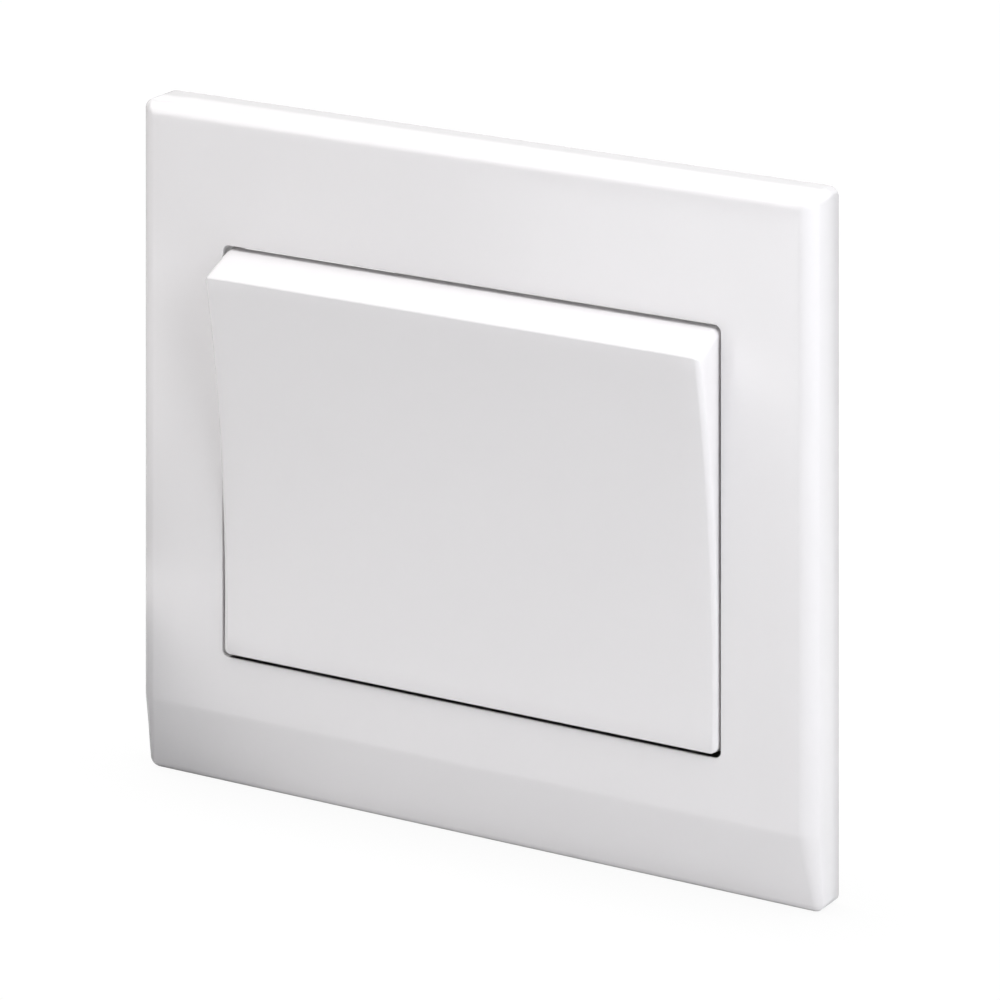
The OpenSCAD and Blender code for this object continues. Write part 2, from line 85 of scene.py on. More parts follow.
# the rocker, drawn square in its own frame and then tilted to rest
PIVOT = Vector(JOINTS["rocker_tilt"]["pos_m"])
TILT = math.radians(JOINTS["rocker_tilt"]["range_deg"][1] / 2)
ON_ROCKER = Matrix.Translation(PIVOT) @ Matrix.Rotation(TILT, 4, "X")
CAP_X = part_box("rocker_cap")[1].x
CAP_Z = 26.0 * MM
CAP_FRONT_Z = 24.65 * MM
CAP_REACH = 9.5 * MM
HOLLOW_R = 158 * MM
CAP_SHOULDER = -3.0 * MM
CAP_BASE = -1.2 * MM
CAP_WALL = 1.5 * MM
CAP_FACE_T = 2.0 * MM
CAP_CORNER_R = 0.9 * MM
CAP_SIDE_R = 0.6 * MM
CAP_END_R = 0.3 * MM
CAP_EDGE_CURVE = 1.4
# the notch in each side wall that clears the bearing ears
NOTCH_FROM, NOTCH_TO = 6.8 * MM, 7.3 * MM
NOTCH_BASE = -3.2 * MM

# points in a rounded corner, round a turned shape and round a thread
CORNER_STEPS = 8
LATHE_STEPS = 48
THREAD_STEPS = 32

# ---------------------------------------------------------------- mesh tools


def weld(bm, distance=2e-6):
    bmesh.ops.remove_doubles(bm, verts=bm.verts, dist=distance)
    bmesh.ops.dissolve_degenerate(bm, edges=bm.edges, dist=1e-7)
    bmesh.ops.recalc_face_normals(bm, faces=bm.faces)


def make_object(name, bm, material, matrix=None, smooth_angle=35):
    """Turns a bmesh into an object with smooth shading, broken at edges sharper than the angle."""
    if matrix is not None:
        bmesh.ops.transform(bm, matrix=matrix, verts=bm.verts)
    limit = math.radians(smooth_angle)
    for face in bm.faces:
        face.smooth = True
    for edge in bm.edges:
        edge.smooth = len(edge.link_faces) != 2 or edge.calc_face_angle(0) < limit
    mesh = bpy.data.meshes.new(name)
    bm.to_mesh(mesh)
    bm.free()
    mesh.materials.append(material)
    piece = bpy.data.objects.new(name, mesh)
    bpy.context.scene.collection.objects.link(piece)
    return piece


def add_rows(bm, rows, wrap):
    """Quads between rows of points that all have the same length; wrap closes each row."""
    made = [[bm.verts.new(p) for p in row] for row in rows]
    for a, b in zip(made, made[1:]):
        count = len(a)
        for i in range(count if wrap else count - 1):
            j = (i + 1) % count
            bm.faces.new((a[i], a[j], b[j], b[i]))


def add_grid(bm, xs, zs, point, hole=None):
    """A sheet of quads over the lines xs and zs, leaving out the cells inside hole (half x, half z)."""
    verts = {(i, k): bm.verts.new(point(x, z)) for i, x in enumerate(xs) for k, z in enumerate(zs)}
    for i, (x0, x1) in enumerate(zip(xs, xs[1:])):
        for k, (z0, z1) in enumerate(zip(zs, zs[1:])):
            mid_x, mid_z = abs(x0 + x1) / 2, abs(z0 + z1) / 2
            if hole and mid_x < hole[0] and mid_z < hole[1]:
                continue
            bm.faces.new((verts[i, k], verts[i + 1, k], verts[i + 1, k + 1], verts[i, k + 1]))
    bmesh.ops.delete(bm, geom=[v for v in verts.values() if not v.link_faces], context="VERTS")


def ring(xs, zs, half_x, top, bottom, radius, point):
    """Points round a rectangle with round corners, through the lines xs and zs, as point(x, z)."""
    out = []

    def corner(cx, cz, start):
        for i in range(CORNER_STEPS + 1):
            a = math.radians(start + 90 * i / CORNER_STEPS)
            out.append(point(cx + radius * math.cos(a), cz + radius * math.sin(a)))

    out.extend(point(x, bottom) for x in xs)
    corner(half_x - radius, bottom + radius, -90)
    out.extend(point(half_x, z) for z in zs)
    corner(half_x - radius, top - radius, 0)
    out.extend(point(x, top) for x in reversed(xs))
    corner(radius - half_x, top - radius, 90)
    out.extend(point(-half_x, z) for z in reversed(zs))
    corner(radius - half_x, bottom + radius, 180)
    return out


def spaced(limit, step):
    """Lines this far apart, on both sides of zero and up to the limit."""
    count = int(limit / step)
    return [step * i for i in range(-count, count + 1)]


def mix(a, b, t):
    return a + (b - a) * t


def smoothstep(a, b, v):
    t = min(max((v - a) / (b - a), 0), 1)
    return t * t * (3 - 2 * t)


def add_box(bm, lo, hi, bevel=0.0):
    """A closed box between two corners, with its edges rounded when a bevel is given."""
    made = bmesh.ops.create_cube(bm, size=1)["verts"]
    size, centre = Vector(hi) - Vector(lo), (Vector(hi) + Vector(lo)) / 2
    for v in made:
        v.co = Vector(a * b for a, b in zip(v.co, size)) + centre
    if bevel:
        edges = {e for v in made for e in v.link_edges}
        bmesh.ops.bevel(bm, geom=list(edges), offset=bevel, segments=2, affect="EDGES", profile=0.5)


def add_prism(bm, outline, axis, lo, hi, bevel):
    """A closed prism with rounded edges; the outline's points lie in the two other axes, in X, Y, Z order."""
    rows = []
    for level in (lo, hi):
        row = [list(point) for point in outline]
        for point in row:
            point.insert(axis, level)
        rows.append([bm.verts.new(point) for point in row])
    count = len(outline)
    made = [bm.faces.new(rows[0]), bm.faces.new(rows[1])]
    for i in range(count):
        j = (i + 1) % count
        made.append(bm.faces.new((rows[0][i], rows[0][j], rows[1][j], rows[1][i])))
    bmesh.ops.recalc_face_normals(bm, faces=made)
    edges = {e for face in made for e in face.edges}
    bmesh.ops.bevel(bm, geom=list(edges), offset=bevel, segments=2, affect="EDGES", profile=0.5)


def add_lathe(bm, profile, axis_point):
    """A solid turned about a line along Y; the profile is (radius, y) from one end to the other."""
    rows = []
    for r, y in profile:
        row = []
        for i in range(LATHE_STEPS):
            a = 2 * math.pi * i / LATHE_STEPS
            row.append(axis_point + Vector((r * math.cos(a), y, r * math.sin(a))))
        rows.append(row)
    add_rows(bm, rows, wrap=True)


def merge(whole, part):
    """Adds one bmesh to another and frees it."""
    mesh = bpy.data.meshes.new("part")
    part.to_mesh(mesh)
    part.free()
    whole.from_mesh(mesh)
    bpy.data.meshes.remove(mesh)


# ---------------------------------------------------------------- materials

# noise scales, per metre
DRIFT_SCALE, GLOSS_SCALE, WAVE_SCALE, GRAIN_SCALE = 45, 420, 130, 9000
LINE_SCALE, PATCH_SCALE = 900, 260
LINE_STRETCH = (1, 12, 1)


def new_material(name):
    material = bpy.data.materials.new(name)
    material.use_nodes = True
    nodes = material.node_tree.nodes
    return material, nodes, material.node_tree.links, nodes["Principled BSDF"]


def noise(nodes, links, scale, detail):
    coords = nodes.new("ShaderNodeTexCoord")
    texture = nodes.new("ShaderNodeTexNoise")
    texture.inputs["Scale"].default_value = scale
    texture.inputs["Detail"].default_value = detail
    links.new(coords.outputs["Object"], texture.inputs["Vector"])
    return texture.outputs["Fac"]


def between(nodes, links, factor, low, high):
    """A number that follows a 0 to 1 factor between two limits."""
    remap = nodes.new("ShaderNodeMapRange")
    remap.inputs["To Min"].default_value = low
    remap.inputs["To Max"].default_value = high
    links.new(factor, remap.inputs["Value"])
    return remap.outputs["Result"]


def tint(nodes, links, factor, dark, light):
    """A colour that follows a 0 to 1 factor between two others."""
    blend = nodes.new("ShaderNodeMix")
    blend.data_type = "RGBA"
    links.new(factor, blend.inputs["Factor"])
    blend.inputs["A"].default_value = (*dark, 1)
    blend.inputs["B"].default_value = (*light, 1)
    return blend.outputs["Result"]


def bump(nodes, links, height, strength, distance, under=None):
    """A normal raised by a height, on top of another normal when one is given."""
    node = nodes.new("ShaderNodeBump")
    node.inputs["Strength"].default_value = strength
    node.inputs["Distance"].default_value = distance
    links.new(height, node.inputs["Height"])
    if under is not None:
        links.new(under, node.inputs["Normal"])
    return node.outputs["Normal"]


def moulded_plastic(name, dark, light, rough, grain=0.0, glow=0.0):
    """Moulded plastic: slight colour drift, uneven gloss, soft flow waviness and an optional spark grain."""
    material, nodes, links, shader = new_material(name)
    drift = noise(nodes, links, DRIFT_SCALE, 3)
    gloss = noise(nodes, links, GLOSS_SCALE, 4)
    links.new(tint(nodes, links, drift, dark, light), shader.inputs["Base Color"])
    links.new(between(nodes, links, gloss, *rough), shader.inputs["Roughness"])
    normal = bump(nodes, links, noise(nodes, links, WAVE_SCALE, 2), 0.06, 0.2 * MM)
    shader.inputs["IOR"].default_value = 1.5
    if grain:
        normal = bump(nodes, links, noise(nodes, links, GRAIN_SCALE, 2), grain, 0.03 * MM, normal)
    links.new(normal, shader.inputs["Normal"])
    if glow:
        shader.inputs["Subsurface Weight"].default_value = glow
        shader.inputs["Subsurface Radius"].default_value = (1.2 * MM, 1.1 * MM, MM)
        shader.inputs["Subsurface Scale"].default_value = 1
    return material


def brushed_metal(name, dark, light, rough):
    """Metal with fine drawn lines, dull patches and slightly uneven colour."""
    material, nodes, links, shader = new_material(name)
    coords = nodes.new("ShaderNodeTexCoord")
    mapping = nodes.new("ShaderNodeMapping")
    mapping.inputs["Scale"].default_value = LINE_STRETCH
    lines = nodes.new("ShaderNodeTexNoise")
    lines.inputs["Scale"].default_value = LINE_SCALE
    lines.inputs["Detail"].default_value = 3
    links.new(coords.outputs["Object"], mapping.inputs["Vector"])
    links.new(mapping.outputs["Vector"], lines.inputs["Vector"])
    patches = noise(nodes, links, PATCH_SCALE, 5)
    links.new(tint(nodes, links, patches, dark, light), shader.inputs["Base Color"])
    links.new(between(nodes, links, lines.outputs["Fac"], *rough), shader.inputs["Roughness"])
    links.new(bump(nodes, links, lines.outputs["Fac"], 0.12, 0.02 * MM), shader.inputs["Normal"])
    shader.inputs["Metallic"].default_value = 1
    return material


GLOSSY_WHITE = {
    "dark": (0.855, 0.842, 0.848), "light": (0.88, 0.866, 0.872), "rough": (0.14, 0.22), "grain": 0.03}
WHITE = moulded_plastic("white_plastic", **GLOSSY_WHITE)
# the surround gets its own copy of the white plastic, so that only it carries the painted shade in its opening
SURROUND = moulded_plastic("surround_plastic_painted_shade", **GLOSSY_WHITE)
INNER = moulded_plastic("inner_plastic", (0.72, 0.72, 0.71), (0.78, 0.78, 0.77), (0.45, 0.6), grain=0.25)
CASE = moulded_plastic("case_plastic", (0.56, 0.56, 0.55), (0.63, 0.63, 0.62), (0.5, 0.65), grain=0.3)
NYLON = moulded_plastic("nylon", (0.76, 0.73, 0.64), (0.82, 0.79, 0.7), (0.35, 0.5), glow=0.2)
BRASS = brushed_metal("brass", (0.62, 0.42, 0.16), (0.78, 0.57, 0.25), (0.22, 0.4))
SILVER = brushed_metal("silver_contact", (0.78, 0.78, 0.76), (0.88, 0.88, 0.86), (0.2, 0.35))
ZINC = brushed_metal("plated_steel", (0.55, 0.57, 0.6), (0.7, 0.71, 0.73), (0.25, 0.42))
SPRING = brushed_metal("spring_steel", (0.42, 0.42, 0.43), (0.55, 0.55, 0.56), (0.2, 0.35))
# painted shade in the gaps round the rocker: its dark colour, and how much of it goes on the walls other than the
# bottom one
PAINTED_GAP_SHADE = (0.02, 0.016, 0.014)
PAINTED_SHADE_SHARE_ABOVE = 0.12


def paint_opening_shade(material):
    """Paints shade into the colour of the opening's walls behind its lip, apart from the left one, which the lamps
    reach.
    """
    nodes, links = material.node_tree.nodes, material.node_tree.links
    shader = nodes["Principled BSDF"]
    coords = nodes.new("ShaderNodeTexCoord")
    split = nodes.new("ShaderNodeSeparateXYZ")
    links.new(coords.outputs["Object"], split.inputs["Vector"])

    def step(value, start, end):
        remap = nodes.new("ShaderNodeMapRange")
        remap.inputs["From Min"].default_value = start
        remap.inputs["From Max"].default_value = end
        links.new(value, remap.inputs["Value"])
        return remap.outputs["Result"]

    def math_node(kind, a, b=None):
        node = nodes.new("ShaderNodeMath")
        node.operation = kind
        links.new(a, node.inputs[0])
        if b is not None:
            links.new(b, node.inputs[1])
        return node.outputs["Value"]

    def within(value, half):
        margin = 0.05 * MM
        return step(math_node("ABSOLUTE", value), half + 2 * margin, half + margin)

    x, y, z = (split.outputs[axis] for axis in "XYZ")
    opening = math_node("MULTIPLY", within(x, OPENING_X), within(z, OPENING_Z))
    behind_lip = step(y, FRONT + 0.2 * MM, FRONT + 0.5 * MM)
    off_left = step(x, 0.6 * MM - OPENING_X, MM - OPENING_X)
    top_end = step(z, OPENING_Z - 1.6 * MM, OPENING_Z - 0.8 * MM)
    shaded = math_node("MULTIPLY", math_node("MAXIMUM", off_left, top_end), behind_lip)
    bottom = step(z, MM - OPENING_Z, 0.5 * MM - OPENING_Z)
    share = between(nodes, links, bottom, PAINTED_SHADE_SHARE_ABOVE, 1)
    # the share of painted shade that is mixed into the plastic's colour
    amount = math_node("MULTIPLY", math_node("MULTIPLY", opening, shaded), share)
    plain = shader.inputs["Base Color"].links[0].from_socket
    blend = nodes.new("ShaderNodeMix")
    blend.data_type = "RGBA"
    links.new(amount, blend.inputs["Factor"])
    links.new(plain, blend.inputs["A"])
    blend.inputs["B"].default_value = (*PAINTED_GAP_SHADE, 1)
    links.new(blend.outputs["Result"], shader.inputs["Base Color"])


# paint shade into the walls of the surround's opening
paint_opening_shade(SURROUND)

SLOT_MATERIAL = {
    "white_plastic": WHITE, "inner_plastic": INNER, "case_plastic": CASE, "nylon": NYLON,
    "brass": BRASS, "silver_contact": SILVER, "plated_steel": ZINC, "spring_steel": SPRING,
}

# ---------------------------------------------------------------- surround


def band_back(z):
    """How far the front face has sloped back at height z."""
    below = BAND_Z - z
    if below >= BAND_BLEND:
        return below * BAND_SLOPE
    if below <= -BAND_BLEND:
        return 0
    return BAND_SLOPE * (below + BAND_BLEND) ** 2 / (4 * BAND_BLEND)


def edge_radius(z):
    """Radius of the front edge, which is smaller round the sloped band."""
    return mix(BAND_EDGE_R, EDGE_R, smoothstep(-HALF, BAND_Z, z))


def band_lines():
    """Heights of the mesh lines through the crease of the band."""
    return [BAND_Z + BAND_BLEND * t for t in (-1.0, -0.6, -0.3, 0, 0.3, 0.6, 1.0)]


def build_front_frame():
    bm = bmesh.new()
    xs_in = spaced(30 * MM, 6 * MM)
    zs_in = spaced(25 * MM, 5 * MM)
    zs_side = sorted(band_lines() + zs_in + [-40 * MM, -37 * MM, -30 * MM, 32 * MM, 38 * MM])
    xs_side = sorted(xs_in + [-38 * MM, 38 * MM])

    # front face: a sheet with a square hole a little larger than the opening
    hole = (OPENING_X + 0.9 * MM, OPENING_Z + 0.9 * MM)
    flat_x, flat_top, flat_bottom = HALF - EDGE_R, HALF - EDGE_R, BAND_EDGE_R - HALF
    xs = sorted([-flat_x] + xs_side + [-hole[0], hole[0], flat_x])
    zs = sorted([flat_bottom] + zs_side + [-hole[1], hole[1], flat_top])

    def face_point(x, z):
        if abs(x) == flat_x:
            x = math.copysign(HALF - edge_radius(z), x)
        return Vector((x, FRONT + band_back(z), z))

    add_grid(bm, xs, zs, face_point, hole)

    # rounded front edge, side wall and rim
    rows = []
    edge_steps = 12
    xs_row = sorted(xs_side + [-hole[0], hole[0]])
    zs_row = sorted(zs_side + [-hole[1], hole[1]])
    for i in range(edge_steps + 1):
        a = math.radians(90 * i / edge_steps)
        inset, depth = 1 - math.sin(a) ** EDGE_CURVE, 1 - max(math.cos(a), 0) ** EDGE_CURVE

        def edge_point(x, z, inset=inset, depth=depth):
            r = edge_radius(z)
            side = math.copysign(HALF - r * inset, x)
            if abs(x) > HALF - EDGE_R * inset - CORNER_R * (1 - inset) - 1e-9:
                x = x + (side - math.copysign(HALF - EDGE_R * inset, x))
            return Vector((x, FRONT + band_back(z) + r * depth, z))

        rows.append(ring(
            xs_row, zs_row, HALF - EDGE_R * inset, HALF - EDGE_R * inset, BAND_EDGE_R * inset - HALF,
            CORNER_R * (1 - inset), edge_point))

    def level(y):
        return lambda x, z: Vector((x, y, z))

    def inner_level(y):
        return lambda x, z: Vector((x, y + band_back(max(z, SHELL - HALF)), z))

    inner = HALF - SHELL
    rim = 0.25 * MM
    for half, y in ((HALF, -rim), (HALF - 0.08 * MM, -0.08 * MM), (HALF - rim, 0)):
        rows.append(ring(xs_row, zs_row, half, half, -half, CORNER_R, level(y)))
    for half, y in ((inner + 0.12 * MM, 0), (inner, -0.12 * MM)):
        rows.append(ring(xs_row, zs_row, half, half, -half, 0.5 * MM, level(y)))
    fillet = 0.4 * MM
    rows.append(ring(xs_row, zs_row, inner, inner, -inner, 0.5 * MM, inner_level(INSIDE + fillet)))
    soft = inner - 0.12 * MM
    rows.append(ring(xs_row, zs_row, soft, soft, -soft, 0.4 * MM, inner_level(INSIDE + 0.12 * MM)))
    flat = inner - fillet
    rows.append(ring(xs_row, zs_row, flat, flat, -flat, 0, inner_level(INSIDE)))
    add_rows(bm, rows, wrap=True)

    # inside face, with a square hole round the collar
    collar_hole = (OPENING_X + COLLAR_T + 0.5 * MM, OPENING_Z + COLLAR_T + 0.5 * MM)
    moved = {}
    for edge, collar_edge in zip(hole, collar_hole):
        moved[edge], moved[-edge] = collar_edge, -collar_edge
    back_xs = [-flat] + xs_row + [flat]
    back_zs = [-flat] + zs_row + [flat]

    def back_point(x, z):
        if abs(x) < flat and abs(z) < flat:
            x, z = moved.get(x, x), moved.get(z, z)
        return Vector((x, INSIDE + band_back(z), z))

    add_grid(bm, back_xs, back_zs, back_point, hole)

    # opening: flat margin, rounded lip, wall, collar and its outside
    rows = [ring(xs_in, zs_in, hole[0], hole[1], -hole[1], 0, level(FRONT))]
    lip_steps = 5
    for i in range(lip_steps + 1):
        a = math.radians(90 * i / lip_steps)
        out, y = LIP_R * (1 - math.sin(a)), FRONT + LIP_R * (1 - math.cos(a))
        rows.append(ring(
            xs_in, zs_in, OPENING_X + out, OPENING_Z + out, -OPENING_Z - out, OPENING_R + out, level(y)))
    soft = 0.15 * MM
    for out, y in (
        (0, COLLAR - soft), (soft, COLLAR), (COLLAR_T - soft, COLLAR), (COLLAR_T, COLLAR - soft),
        (COLLAR_T, INSIDE + 0.2 * MM), (COLLAR_T + 0.2 * MM, INSIDE),
    ):
        rows.append(ring(
            xs_in, zs_in, OPENING_X + out, OPENING_Z + out, -OPENING_Z - out, OPENING_R + out, level(y)))
    rows.append(ring(xs_in, zs_in, collar_hole[0], collar_hole[1], -collar_hole[1], 0, level(INSIDE)))
    add_rows(bm, rows, wrap=True)
    weld(bm)

    # snap hooks that hold the surround on its plate
    for side in (-1, 1):
        near, far, barb = 35.3 * MM, 36.7 * MM, 37.5 * MM
        outline = [
            (side * near, INSIDE - 0.3 * MM), (side * far, INSIDE - 0.3 * MM), (side * far, -1.6 * MM),
            (side * barb, -1.6 * MM), (side * far, -0.5 * MM), (side * near, -0.5 * MM)]
        for middle in (-20 * MM, 20 * MM):
            add_prism(bm, outline, 2, middle - 3 * MM, middle + 3 * MM, 0.12 * MM)
    return make_object("front_frame_shell", bm, SURROUND)


# ---------------------------------------------------------------- rocker cap


def hollow(z, back=0.0):
    """Y of the hollow front face at height z, or of the inside face that lies this far behind it."""
    deepest = HOLLOW_R - math.sqrt(HOLLOW_R ** 2 - CAP_FRONT_Z ** 2) - CAP_REACH
    radius = HOLLOW_R + back
    return deepest - HOLLOW_R + math.sqrt(radius ** 2 - z ** 2)


def build_rocker_cap():
    bm = bmesh.new()
    xs_in = spaced(29 * MM, 1.45 * MM)
    zs_in = sorted(spaced(22.5 * MM, 1.5 * MM) + [-NOTCH_TO, -NOTCH_FROM, NOTCH_FROM, NOTCH_TO])
    zs_in = [z for z in zs_in if abs(abs(z) - 7.5 * MM) > 1e-9]
    flat_x, flat_z = CAP_X - CAP_SIDE_R, CAP_FRONT_Z - CAP_END_R

    def face_point(x, z):
        return Vector((x, hollow(z), z))

    add_grid(bm, [-flat_x] + xs_in + [flat_x], [-flat_z] + zs_in + [flat_z], face_point)

    # rounded front edges, side walls and skirt
    rows = []
    edge_steps = 10
    for i in range(edge_steps + 1):
        a = math.radians(90 * i / edge_steps)
        inset, depth = 1 - math.sin(a) ** CAP_EDGE_CURVE, 1 - max(math.cos(a), 0) ** CAP_EDGE_CURVE
        half_x, half_z = CAP_X - CAP_SIDE_R * inset, CAP_FRONT_Z - CAP_END_R * inset
        corner = CAP_CORNER_R * (1 - inset)

        def edge_point(x, z, half_x=half_x, half_z=half_z, depth=depth):
            to_side = smoothstep(half_x - CAP_CORNER_R, half_x, abs(x))
            r = mix(CAP_END_R, CAP_SIDE_R, to_side)
            return Vector((x, hollow(min(abs(z), CAP_FRONT_Z)) + r * depth, z))

        rows.append(ring(xs_in, zs_in, half_x, half_z, -half_z, corner, edge_point))

    def base(z):
        return mix(NOTCH_BASE, CAP_BASE, smoothstep(NOTCH_FROM, NOTCH_TO, abs(z)))

    def wall_at(t):
        def point(x, z):
            on_side = smoothstep(CAP_X - CAP_CORNER_R, CAP_X, abs(x))
            start = hollow(min(abs(z), CAP_FRONT_Z)) + mix(CAP_END_R, CAP_SIDE_R, on_side)
            shoulder = min(CAP_SHOULDER, mix(CAP_SHOULDER, base(z) - 0.5 * MM, on_side))
            return Vector((x, mix(start, shoulder, t), z))
        return point

    wall_steps = 4
    for i in range(1, wall_steps + 1):
        t = i / wall_steps
        half_z = mix(CAP_FRONT_Z, CAP_Z, t)
        rows.append(ring(xs_in, zs_in, CAP_X, half_z, -half_z, CAP_CORNER_R, wall_at(t)))

    def skirt(back):
        def point(x, z):
            on_side = smoothstep(CAP_X - 2.5 * MM, CAP_X - 1.6 * MM, abs(x))
            return Vector((x, mix(CAP_BASE, base(z), on_side) - back, z))
        return point

    soft = 0.2 * MM
    for inset, back in ((0, soft), (soft, 0), (CAP_WALL - soft, 0), (CAP_WALL, soft)):
        half_z = CAP_Z - inset
        radius = max(CAP_CORNER_R - inset, 0.3 * MM)
        rows.append(ring(xs_in, zs_in, CAP_X - inset, half_z, -half_z, radius, skirt(back)))

    def under(back):
        return lambda x, z: Vector((x, hollow(z, CAP_FACE_T) + back, z))

    inner_x, inner_z = CAP_X - CAP_WALL, CAP_FRONT_Z - CAP_WALL
    rows.append(ring(xs_in, zs_in, inner_x, inner_z, -inner_z, 0.3 * MM, under(0.5 * MM)))
    flat_in_x, flat_in_z = inner_x - 0.4 * MM, inner_z - 0.4 * MM
    rows.append(ring(xs_in, zs_in, flat_in_x, flat_in_z, -flat_in_z, 0, under(0)))
    add_rows(bm, rows, wrap=True)
    add_grid(
        bm, [-flat_in_x] + xs_in + [flat_in_x], [-flat_in_z] + zs_in + [flat_in_z],
        under(0))
    weld(bm)

    # ribs that rest on the carrier, and hooks that grip its edges
    rib_x, rib_t, rib_z, rib_end = 12 * MM, 1.2 * MM, 12 * MM, -5.2 * MM
    for side in (-1, 1):
        x = side * rib_x
        add_box(
            bm, (x - rib_t / 2, -6.6 * MM, -rib_z), (x + rib_t / 2, rib_end, rib_z), 0.15 * MM)
    root, catch, end = -6.3 * MM, -3.5 * MM, -2.9 * MM
    for side in (-1, 1):
        near, grip, back = side * 14.2 * MM, side * 13.3 * MM, side * 15.6 * MM
        outline = [(root, near), (catch, near), (catch, grip), (end, near), (end, back), (root, back)]
        for middle in (-8 * MM, 8 * MM):
            add_prism(bm, outline, 0, middle - 2.5 * MM, middle + 2.5 * MM, 0.12 * MM)
    return make_object("rocker_cap_shell", bm, WHITE, ON_ROCKER)


# ---------------------------------------------------------------- screws, spring and rivets


def add_thread(bm, centre, y_from, y_to, crest, root, pitch, point=0.0):
    """A threaded rod along +Y, closed at both ends, with an optional conical point of that length."""
    per_pitch = 8
    flank_height, flank_slope = 1.35, 2.9
    rows = []
    count = max(2, int(round((y_to - y_from) / pitch * per_pitch)))
    for k in range(count + 1):
        y = mix(y_from, y_to, k / count)
        row = []
        for i in range(THREAD_STEPS):
            phase = ((y - y_from) / pitch - i / THREAD_STEPS) % 1
            ridge = min(1, max(0, flank_height - flank_slope * abs(phase - 0.5)))
            radius = mix(root, crest, ridge)
            if point:
                radius = min(radius, mix(0.12 * root, crest, min((y_to - y) / point, 1)))
            radius = min(radius, mix(0.8 * root, crest, min(k / per_pitch, 1)))
            a = 2 * math.pi * i / THREAD_STEPS
            row.append(centre + Vector((radius * math.cos(a), y, radius * math.sin(a))))
        rows.append(row)
    rows.insert(0, [centre + Vector((0, y_from, 0))] * THREAD_STEPS)
    rows.append([centre + Vector((0, y_to, 0))] * THREAD_STEPS)
    add_rows(bm, rows, wrap=True)


def cut(name, body, cutter):
    """Cuts one bmesh out of another and returns the result as a bmesh."""
    pair = []
    for tag, bm in ((name, body), (name + "_cutter", cutter)):
        weld(bm)
        mesh = bpy.data.meshes.new(tag)
        bm.to_mesh(mesh)
        bm.free()
        piece = bpy.data.objects.new(tag, mesh)
        bpy.context.scene.collection.objects.link(piece)
        pair.append(piece)
    modifier = pair[0].modifiers.new("cut", "BOOLEAN")
    modifier.operation = "DIFFERENCE"
    modifier.solver = "EXACT"
    modifier.use_self = True
    modifier.object = pair[1]
    bpy.context.view_layer.update()
    made = bmesh.new()
    made.from_object(pair[0], bpy.context.evaluated_depsgraph_get())
    for piece in pair:
        mesh = piece.data
        bpy.data.objects.remove(piece)
        bpy.data.meshes.remove(mesh)
    return made


def cross_cutter(centre, y_open, depth, reach, out):
    """Tapered cross recess that opens at y_open; out is the direction along Y that the opening faces."""
    bm = bmesh.new()
    half = 0.42 * MM
    for turn in (0, 90):
        rows = []
        for share, y in ((1.12, y_open + out * 0.2 * MM), (0.62, y_open - out * depth)):
            x, z = reach * share, half * (0.75 + 0.25 * share)
            corners = ((-x, -z), (x, -z), (x, z), (-x, z))
            spin = Matrix.Rotation(math.radians(turn), 4, "Y")
            rows.append([centre + spin @ Vector((cx, y, cz)) for cx, cz in corners])
        box = [[bm.verts.new(p) for p in row] for row in rows]
        for i in range(4):
            j = (i + 1) % 4
            bm.faces.new((box[0][i], box[0][j], box[1][j], box[1][i]))
        bm.faces.new(box[0])
        bm.faces.new(box[1])
    return bm


def head_profile(radius, y_seat, y_face, dome, out):
    """Pan head from the middle of its seat to the middle of its domed face, as (radius, y)."""
    rim = y_face - out * dome
    chamfer = 0.12 * MM
    profile = [(0, y_seat), (radius - chamfer, y_seat), (radius, y_seat + out * chamfer)]
    dome_steps = 8
    for i in range(dome_steps):
        a = math.radians(90 * i / dome_steps)
        profile.append((radius * math.cos(a * 0.985), rim + out * dome * math.sin(a)))
    profile.append((0, y_face))
    return profile


def build_box_screws():
    lo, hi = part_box("fixing_screws")
    head_r, seat = 3.25 * MM, -1.6 * MM
    whole = bmesh.new()
    for side in (-1, 1):
        centre = Vector((side * (hi.x - head_r), 0, 0))
        head = bmesh.new()
        add_lathe(head, head_profile(head_r, seat, lo.y, 0.75 * MM, -1), centre)
        head = cut("head", head, cross_cutter(centre, lo.y, 1.2 * MM, 2 * MM, -1))
        merge(whole, head)
        neck_r, neck_from, neck_to = 1.55 * MM, seat - 0.1 * MM, 0.5 * MM
        add_lathe(whole, [(0, neck_from), (neck_r, neck_from), (neck_r, neck_to), (0, neck_to)], centre)
        add_thread(whole, centre, 0.4 * MM, hi.y, 1.75 * MM, 1.4 * MM, 0.6 * MM, point=0.7 * MM)
    weld(whole, 1e-7)
    return make_object("box_screws", whole, ZINC, smooth_angle=40)


def build_case_screws():
    lo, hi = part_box("housing_screws")
    head_r, seat = 2.4 * MM, 4.5 * MM
    whole = bmesh.new()
    for sx in (-1, 1):
        for sz in (-1, 1):
            centre = Vector((sx * (hi.x - head_r), 0, sz * (hi.z - head_r)))
            head = bmesh.new()
            add_lathe(head, head_profile(head_r, seat, hi.y, 0.6 * MM, 1), centre)
            head = cut("head", head, cross_cutter(centre, hi.y, 0.9 * MM, 1.6 * MM, 1))
            merge(whole, head)
            shank = bmesh.new()
            shank_from = seat + 0.1 * MM
            add_thread(shank, Vector(), 0, shank_from - lo.y, 1.3 * MM, MM, 0.9 * MM, point=1.2 * MM)
            turn = Matrix.Rotation(math.pi, 4, "X")
            to_head = Matrix.Translation(centre + Vector((0, shank_from, 0)))
            bmesh.ops.transform(shank, matrix=to_head @ turn, verts=shank.verts)
            merge(whole, shank)
    weld(whole, 1e-7)
    return make_object("case_screws", whole, ZINC, smooth_angle=40)


